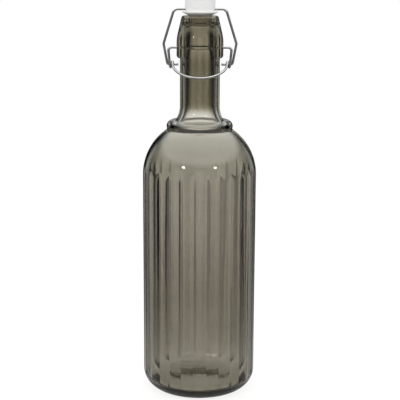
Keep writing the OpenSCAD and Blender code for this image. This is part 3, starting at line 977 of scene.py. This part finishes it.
# Plastic and rubber: clouds of colour, smears of gloss and grain of the surface, each with its noise, and the
# weight, radii and depth of the light that goes under the surface
PLASTIC = dict(
    clouds=(90.0, 4.0, 0.6), colours=((0.3, (0.91, 0.91, 0.905)), (0.75, (0.95, 0.95, 0.945))),
    smears=(260.0, 3.0), roughs=((0.3, 0.30), (0.7, 0.42)),
    grains=(2600.0, 3.0), bump=(0.08, 0.0001),
    under=(0.15, (0.6, 0.55, 0.5), 0.002))
RUBBER = dict(
    clouds=(130.0, 4.0, 0.6), colours=((0.3, (0.76, 0.76, 0.735)), (0.75, (0.84, 0.84, 0.815))),
    smears=(300.0, 3.0), roughs=((0.3, 0.42), (0.7, 0.55)),
    grains=(3000.0, 2.0), bump=(0.1, 0.0001),
    under=(0.4, (1.0, 0.95, 0.85), 0.003))


def moulded_material(name, clouds, colours, smears, roughs, grains, bump, under):
    """The material of a moulded piece, from one of the tables above."""
    material, n = new_material(name)
    place = n.add("ShaderNodeTexCoord").outputs["Object"]
    weight, radii, depth = under
    moulded = n.add("ShaderNodeBsdfPrincipled", {
        "Base Color": n.ramp(n.noise(place, *clouds), colours), "Roughness": n.ramp(n.noise(place, *smears), roughs),
        "Subsurface Weight": weight, "Subsurface Radius": radii, "Subsurface Scale": depth,
        "Normal": n.bump(n.noise(place, *grains), *bump)})
    n.add("ShaderNodeOutputMaterial", {"Surface": moulded.outputs[0]})
    return material


glass = make_glass()
glass.data.materials.append(glass_material())
lever = make_wire("lever_steel", lever_path())
bail = make_wire("bail_steel", bail_path())
steel = wire_material()
lever.data.materials.append(steel)
bail.data.materials.append(steel)
stopper = make_stopper()
stopper.data.materials.append(moulded_material("white_plastic", **PLASTIC))
gasket = make_gasket()
gasket.data.materials.append(moulded_material("gasket_rubber", **RUBBER))

for obj, body, slot, node in ((glass, "bottle", "smoked_glass", "glass_bottle"),
                              (lever, "lever", "steel_wire", "lever_wire"),
                              (bail, "bail", "steel_wire", "bail_wire"),
                              (stopper, "stopper", "white_plastic", "stopper"),
                              (gasket, "stopper", "gasket_rubber", "gasket")):
    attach(obj, body)
    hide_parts(node)

# The studio: white all round, with soft dark gaps near the horizon that draw the edges of the glass, and dimmer at
# the flanks. Angles are in degrees. A rise is the height of a direction, from -1 straight down to 1 straight up.
WHITE = (1.0, 1.0, 1.0, 1.0)
WINDOW_PITCH = 45.0
GAP_START = 4.0
GAP_END = 17.0
GAP_RISE = (0.22, 0.4)
LOW_RISE = (-0.3, -0.06)
LOW_LIGHT = 0.75
TOP_RISE = (0.22, 0.4)
TOP_LIGHT = 0.2
FLANK_START = 25.0
FLANK_END = 55.0
FLANK_LIGHT = 0.5
FILL = (0.62, 1.28)
FILL_RISE = (-0.4, 0.7)
MIRRORED = 0.5
MIRRORED_TOP = 2.0
MIRRORED_RISE = (0.35, 0.6)
FLOOR_SIZE = 0.8
FLOOR_SIDES = 64
FLOOR_ALBEDO = 0.2
FLOOR_GLOW = 0.83
SHADOW_ZONE = (0.25, 0.6)


def glow(n, strength, kind="ShaderNodeBackground"):
    """White light of a strength, as a shader."""
    return n.add(kind, {"Color": WHITE, "Strength": strength}).outputs[0]


def mix(n, factor, first, second):
    return n.add("ShaderNodeMixShader", {0: factor, 1: first, 2: second}).outputs[0]


def make_world():
    """White to the camera, windows to rays through the glass, their like to mirrored rays, and a fill to the rest."""
    world = bpy.data.worlds.new("studio")
    bpy.context.scene.world = world
    world.use_nodes = True
    n = Nodes(world.node_tree)
    axes = n.add("ShaderNodeSeparateXYZ", {0: n.add("ShaderNodeTexCoord").outputs["Generated"]})
    path = n.add("ShaderNodeLightPath")
    turn = n.math("DIVIDE", n.math("ARCTAN2", axes.outputs[0], axes.outputs[1]), math.radians(WINDOW_PITCH))
    off = n.math("ABSOLUTE", n.math("SUBTRACT", turn, n.math("ROUND", turn, 0.0)))
    gap = fade(n, off, GAP_START / WINDOW_PITCH, GAP_END / WINDOW_PITCH)
    rise = axes.outputs[2]
    level = fade(n, n.math("ABSOLUTE", rise), *GAP_RISE, 1.0, 0.0)
    side = n.math("SUBTRACT", 1.0, n.math("MULTIPLY", gap, level))
    flank = fade(n, n.math("ABSOLUTE", turn), FLANK_START / WINDOW_PITCH, FLANK_END / WINDOW_PITCH, 1.0,
                 FLANK_LIGHT)
    low = fade(n, rise, *LOW_RISE, LOW_LIGHT, 1.0)
    top = fade(n, rise, *TOP_RISE, 1.0, TOP_LIGHT)
    strength = n.math("MULTIPLY", n.math("MULTIPLY", side, low), top)
    above = fade(n, rise, *MIRRORED_RISE)
    below = n.math("SUBTRACT", 1.0, above)
    in_mirror = n.math("ADD", n.math("MULTIPLY", n.math("MULTIPLY", strength, MIRRORED), below),
                       n.math("MULTIPLY", above, MIRRORED_TOP))
    fill = fade(n, rise, *FILL_RISE, *FILL)
    seen = mix(n, path.outputs["Is Glossy Ray"], glow(n, fill), glow(n, in_mirror))
    seen = mix(n, path.outputs["Is Transmission Ray"], seen, glow(n, n.math("MULTIPLY", strength, flank)))
    n.add("ShaderNodeOutputWorld", {"Surface": mix(n, path.outputs["Is Camera Ray"], seen, glow(n, 1.0))})


def make_floor():
    """A disc that keeps the bottle's shadow and fades into the white of the studio."""
    mesh = bpy.data.meshes.new("floor")
    turns = [2 * math.pi * i / FLOOR_SIDES for i in range(FLOOR_SIDES)]
    mesh.from_pydata([(FLOOR_SIZE * math.cos(a), FLOOR_SIZE * math.sin(a), 0.0) for a in turns], [],
                     [tuple(range(FLOOR_SIDES))])
    floor = bpy.data.objects.new("floor", mesh)
    bpy.context.scene.collection.objects.link(floor)
    material, n = new_material("floor_white")
    place = n.add("ShaderNodeNewGeometry").outputs["Position"]
    far = n.add("ShaderNodeVectorMath", {0: place}, operation="LENGTH").outputs["Value"]
    path = n.add("ShaderNodeLightPath")
    lit = n.add("ShaderNodeBsdfDiffuse", {"Color": (FLOOR_ALBEDO,) * 3 + (1.0,)}).outputs[0]
    near = n.add("ShaderNodeAddShader", {0: lit, 1: glow(n, FLOOR_GLOW, "ShaderNodeEmission")}).outputs[0]
    camera_side = mix(n, fade(n, far, *SHADOW_ZONE), near, glow(n, 1.0, "ShaderNodeEmission"))
    seen = mix(n, path.outputs["Is Camera Ray"], lit, camera_side)
    bent = n.math("MINIMUM", n.math("ADD", path.outputs["Is Glossy Ray"], path.outputs["Is Transmission Ray"]), 1.0)
    clear = n.add("ShaderNodeBsdfTransparent").outputs[0]
    n.add("ShaderNodeOutputMaterial", {"Surface": mix(n, bent, seen, clear)})
    mesh.materials.append(material)
    return floor


# Two small softboxes at the front, which the shoulder mirrors
SOFTBOX_SIZE = 0.09
SOFTBOX_FAR = 1.2
SOFTBOX_TURN = 34.0
SOFTBOX_RISE = 21.0
SOFTBOX_POWER = 0.63
SOFTBOX_AIM = (0.0, 0.0, 0.2)


def make_softbox(name, turn):
    """A square lamp that shines on the bottle, at a turn from the front towards +X."""
    data = bpy.data.lights.new(name, "AREA")
    data.shape = "SQUARE"
    data.size = SOFTBOX_SIZE
    data.energy = SOFTBOX_POWER
    lamp = bpy.data.objects.new(name, data)
    a, e = math.radians(turn), math.radians(SOFTBOX_RISE)
    away = Vector((math.sin(a) * math.cos(e), -math.cos(a) * math.cos(e), math.sin(e)))
    lamp.location = Vector(SOFTBOX_AIM) + SOFTBOX_FAR * away
    lamp.rotation_euler = away.to_track_quat("Z", "Y").to_euler()
    bpy.context.scene.collection.objects.link(lamp)
    return lamp


make_world()
make_floor()
make_softbox("softbox_right", SOFTBOX_TURN)
make_softbox("softbox_left", -SOFTBOX_TURN)

# The camera, as the photograph was taken. In degrees it looks down by the pitch, and the picture leans clockwise by
# the roll
CAMERA_PLACE = (0.0005, -0.850, 0.3291)
CAMERA_PITCH = 11.79
CAMERA_ROLL = 0.24
CAMERA_LENS = 100.05
CAMERA_SENSOR = 36.0

camera_data = bpy.data.cameras.new("camera")
camera_data.lens = CAMERA_LENS
camera_data.sensor_width = CAMERA_SENSOR
camera = bpy.data.objects.new("camera", camera_data)
aim = Matrix.Rotation(math.radians(90 - CAMERA_PITCH), 4, "X") @ Matrix.Rotation(math.radians(CAMERA_ROLL), 4, "Z")
camera.matrix_world = Matrix.Translation(CAMERA_PLACE) @ aim
bpy.context.scene.collection.objects.link(camera)
bpy.context.scene.camera = camera

# Enough bounces for a ray through all the walls of the glass
BOUNCES = 24
GLOSSY_BOUNCES = 12

scene = bpy.context.scene
scene.view_settings.view_transform = "Standard"
scene.cycles.max_bounces = BOUNCES
scene.cycles.transmission_bounces = BOUNCES
scene.cycles.glossy_bounces = GLOSSY_BOUNCES
scene.cycles.transparent_max_bounces = BOUNCES
scene.cycles.caustics_reflective = False
scene.cycles.caustics_refractive = False
